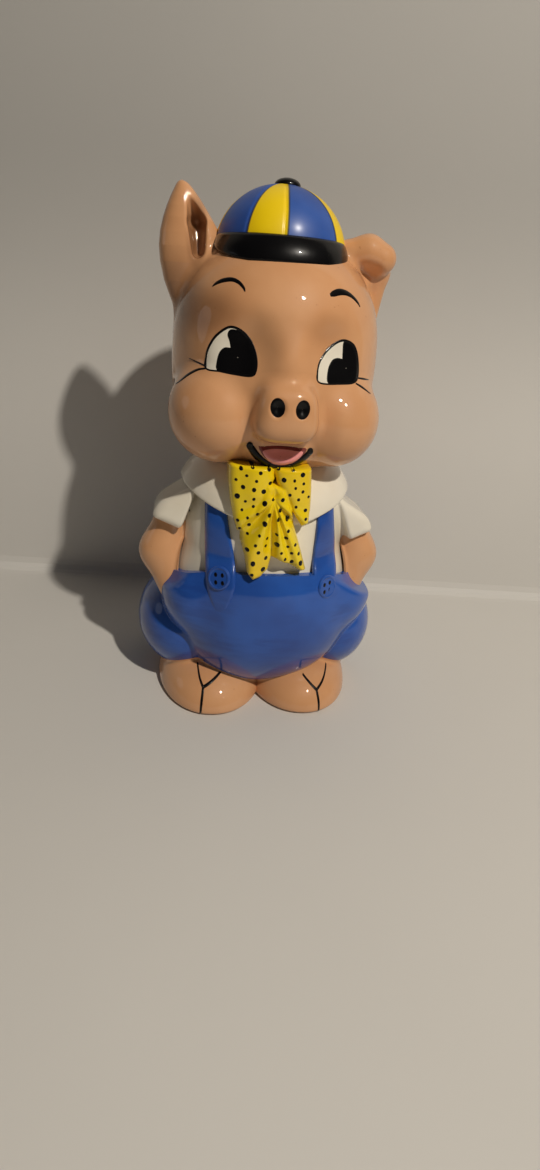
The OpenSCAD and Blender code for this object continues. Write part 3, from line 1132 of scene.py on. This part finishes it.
def paint_bow():
    """Hand-set dots: a seeded scatter that keeps its distance, of three brush sizes."""
    dots = Brush("bow_dots", bow_form, BLACK, 0.10)
    draw = np.random.default_rng(7)
    placed = []
    for _ in range(2600):
        x, z = draw.uniform(-26, 19.5), draw.uniform(91, 154)
        size = draw.choice([0.85, 1.1, 1.4], p=[0.35, 0.4, 0.25])
        at = np.array([[x, -60.0, z]])
        inside = any(leaf_shape(at, outline)[0] <= -1.2 for outline, _ in BOW_LEAVES.values())
        if not inside or any(
            math.hypot(x - a, z - b) < 2.3 + 1.05 * (size + c) for a, b, c in placed
        ):
            continue
        placed.append((x, z, size))
        wide, high = size * draw.uniform(0.9, 1.1), size * draw.uniform(0.95, 1.2)
        dots.dot(x, z, wide, high, draw.uniform(-0.5, 0.5))
    dots.done()


def paint_buttons():
    for s, side in SIDES.items():
        holes = Brush(f"button_holes_{side}", strap_button_form(s), BLACK, 0.08)
        for across, up in ((-1.9, 1.8), (1.7, 2.2), (-1.7, -2.2), (1.9, -1.8)):
            holes.dot(BUTTONS[s][0] + across, BUTTONS[s][1] + up, 0.9, 1.25)
        holes.done()


def paint_toes():
    """The cleft of each trotter: a fork of two lines running into one."""
    forks = {
        -1: ((-34.1, 14.8), [(-34.9, 8), (-35.3, 1.2)], [(-37.4, 21.8), (-23.3, 20.2)]),
        1: ((34.9, 13.1), [(36.0, 7.5), (36.4, 1.2)], [(44.0, 19.8), (27.0, 19.3)]),
    }
    for s, side in SIDES.items():
        cleft = Brush(f"toe_lines_{side}", foot_form(s), BLACK, 0.2)
        fork, down, tops = forks[s]
        cleft.stroke([(*fork, 1.5), (*down[0], 1.6), (*down[1], 1.2)])
        for top in tops:
            half = ((fork[0] + top[0]) / 2 + 0.4 * s, (fork[1] + top[1]) / 2 - 0.3)
            cleft.stroke([(*fork, 1.5), (*half, 1.3), (*top, 1.0)])
        cleft.done()


paint_face()
paint_mouth()
paint_bow()
paint_buttons()
paint_toes()


# ---- the stopper

def make_stopper():
    """The rubber plug: a lipped flange with a shallow recess underneath."""
    z0, z1 = STOP_LO[2], STOP_HI[2]
    flange_r = (STOP_HI[0] - STOP_LO[0]) / 2
    body_r, lead_r = 15.95, 14.0
    profile = [
        (0.0, z0 + 0.9), (10.8, z0 + 0.9), (11.4, z0 + 0.6), (11.9, z0 + 0.1), (12.4, z0),
        (flange_r - 0.7, z0), (flange_r - 0.2, z0 + 0.25), (flange_r, z0 + 0.8), (flange_r, z0 + 1.7),
        (flange_r - 0.2, z0 + 2.2), (flange_r - 0.7, z0 + 2.4), (body_r + 0.2, z0 + 2.4),
        (body_r, z0 + 2.6), (body_r, 5.4), (body_r - 0.35, 5.8), (body_r - 0.35, 7.6), (body_r, 8.0),
        (body_r, 10.8), (body_r - 0.1, 11.2), (lead_r + 0.1, z1 - 0.4), (lead_r - 0.6, z1), (0.0, z1),
    ]
    sides = 96
    turn = np.linspace(0, 2 * math.pi, sides, endpoint=False)
    points = [(0, 0, profile[0][1])]
    for r, z in profile[1:-1]:
        points += [(r * math.cos(a), r * math.sin(a), z) for a in turn]
    points.append((0, 0, z1))
    a = np.arange(1, len(points) - 1).reshape(-1, sides)
    b = np.roll(a, -1, axis=1)
    bottom, top = np.zeros(sides, int), np.full(sides, len(points) - 1)
    side = np.stack([a[:-1], b[:-1], b[1:], a[:-1], b[1:], a[1:]], -1)
    ends = np.stack([bottom, b[0], a[0], a[-1], b[-1], top], -1)
    faces = np.concatenate([side.reshape(-1, 3), ends.reshape(-1, 3)])
    obj = make_mesh("stopper_plug", points, faces, None, [RUBBER])
    obj.modifiers.new("edges", "WEIGHTED_NORMAL")
    return enrol(obj, "stopper", "stopper_rubber", ["stopper"])


make_stopper()
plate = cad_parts["base_plate"].data.materials
plate.clear()
plate.append(BISQUE)


# ---- camera, light, table

def make_camera():
    """A phone held close, a little above the face and slightly tilted."""
    turn, pitch, roll = math.radians(-9.0), math.radians(18.0), math.radians(4.76)
    aside = Vector((math.cos(turn), math.sin(turn), 0))
    level_ahead = Vector((-math.sin(turn), math.cos(turn), 0))
    ahead = level_ahead * math.cos(pitch) - Vector((0, 0, math.sin(pitch)))
    level = aside.cross(ahead)
    right = aside * math.cos(roll) + level * math.sin(roll)
    up = level * math.cos(roll) - aside * math.sin(roll)
    at = aside * 4.2 - level_ahead * 373.3 + Vector((0, AXIS_Y, 244.6))
    data = bpy.data.cameras.new("camera")
    data.lens, data.sensor_width = 19.31, 36.0
    data.shift_y = -0.081
    data.clip_start = 0.01
    obj = add_object("camera", data)
    facing = Matrix((right, up, -ahead)).transposed().to_4x4()
    obj.matrix_world = Matrix.Translation(at * MM) @ facing
    bpy.context.scene.camera = obj


def add_light(name, toward, distance, size, power, colour, seen_in_gloss=True):
    """A soft round light, aimed at the pig's middle."""
    data = bpy.data.lights.new(name, "AREA")
    data.shape, data.size, data.energy, data.color = "DISK", size, power, colour
    obj = add_object(name, data)
    back = Vector(toward).normalized()
    obj.location = Vector((0, AXIS_Y * MM, 0.15)) + back * distance
    obj.rotation_euler = back.to_track_quat("Z", "Y").to_euler()
    obj.visible_glossy = seen_in_gloss


def paper(name, colour):
    """Matt painted board with faint mottling, and painted shade that darkens the wall towards its top.
    """
    n = Nodes(name)
    mottled = tuple(0.86 * c for c in colour[:3]) + (1.0,)
    tone = n.mix(n.times(n.noise(5.0, 4.0, 0.55), 0.5), colour, mottled)
    # painted shade: the board darkens towards black higher up the wall
    painted_wall_shade = n.times(n.ramp(n.xyz()[2], 0.12, 0.34), 0.38)
    tone = n.mix(painted_wall_shade, tone, (0.0, 0.0, 0.0, 1.0))
    fibres = n.bump(n.noise(500.0, 3.0, 0.6), 0.08, 0.0003)
    return n.finish(Base_Color=tone, Roughness=0.8, Normal=fibres)


def make_stage():
    """A pale table and a pale wall behind it, joined by a small cove."""
    wall = Vector((0.0, 0.122 + AXIS_Y * MM, 0.0))
    turn = math.radians(-6)
    along = Vector((math.cos(turn), math.sin(turn), 0))
    out = Vector((along.y, -along.x, 0))
    rows = [(1.6, 0.0), (0.012, 0.0), (0.007, 0.0004), (0.0035, 0.002), (0.001, 0.005), (0.0, 0.010),
            (0.0, 1.6)]
    ends = (-1.8 * along, 1.8 * along)
    points = [wall + end + out * away + Vector((0, 0, z)) for away, z in rows for end in ends]
    faces = [(2 * i, 2 * i + 1, 2 * i + 3, 2 * i + 2) for i in range(len(rows) - 1)]
    data = bpy.data.meshes.new("table_and_wall")
    data.from_pydata([tuple(p) for p in points], [], faces)
    data.materials.append(paper("pale_board", linear(216, 213, 207)))
    add_object("table_and_wall", data)


make_camera()
add_light("lamp", (0.316, -0.639, 0.701), 1.25, 0.045, 11.5, (1.0, 0.93, 0.83))
add_light("room", (0.5, -1.0, 0.55), 1.6, 1.2, 0.32, (0.96, 0.97, 1.0), False)
add_light("rim", (-1.0, 0.05, 0.22), 1.05, 0.35, 0.12, (0.95, 0.97, 1.0))
make_stage()
world = bpy.data.worlds.new("world")
world.use_nodes = True
sky = world.node_tree.nodes["Background"].inputs
sky["Color"].default_value = (0.80, 0.86, 1.0, 1)
sky["Strength"].default_value = 0.03
bpy.context.scene.world = world
bpy.context.scene.view_settings.view_transform = "Standard"
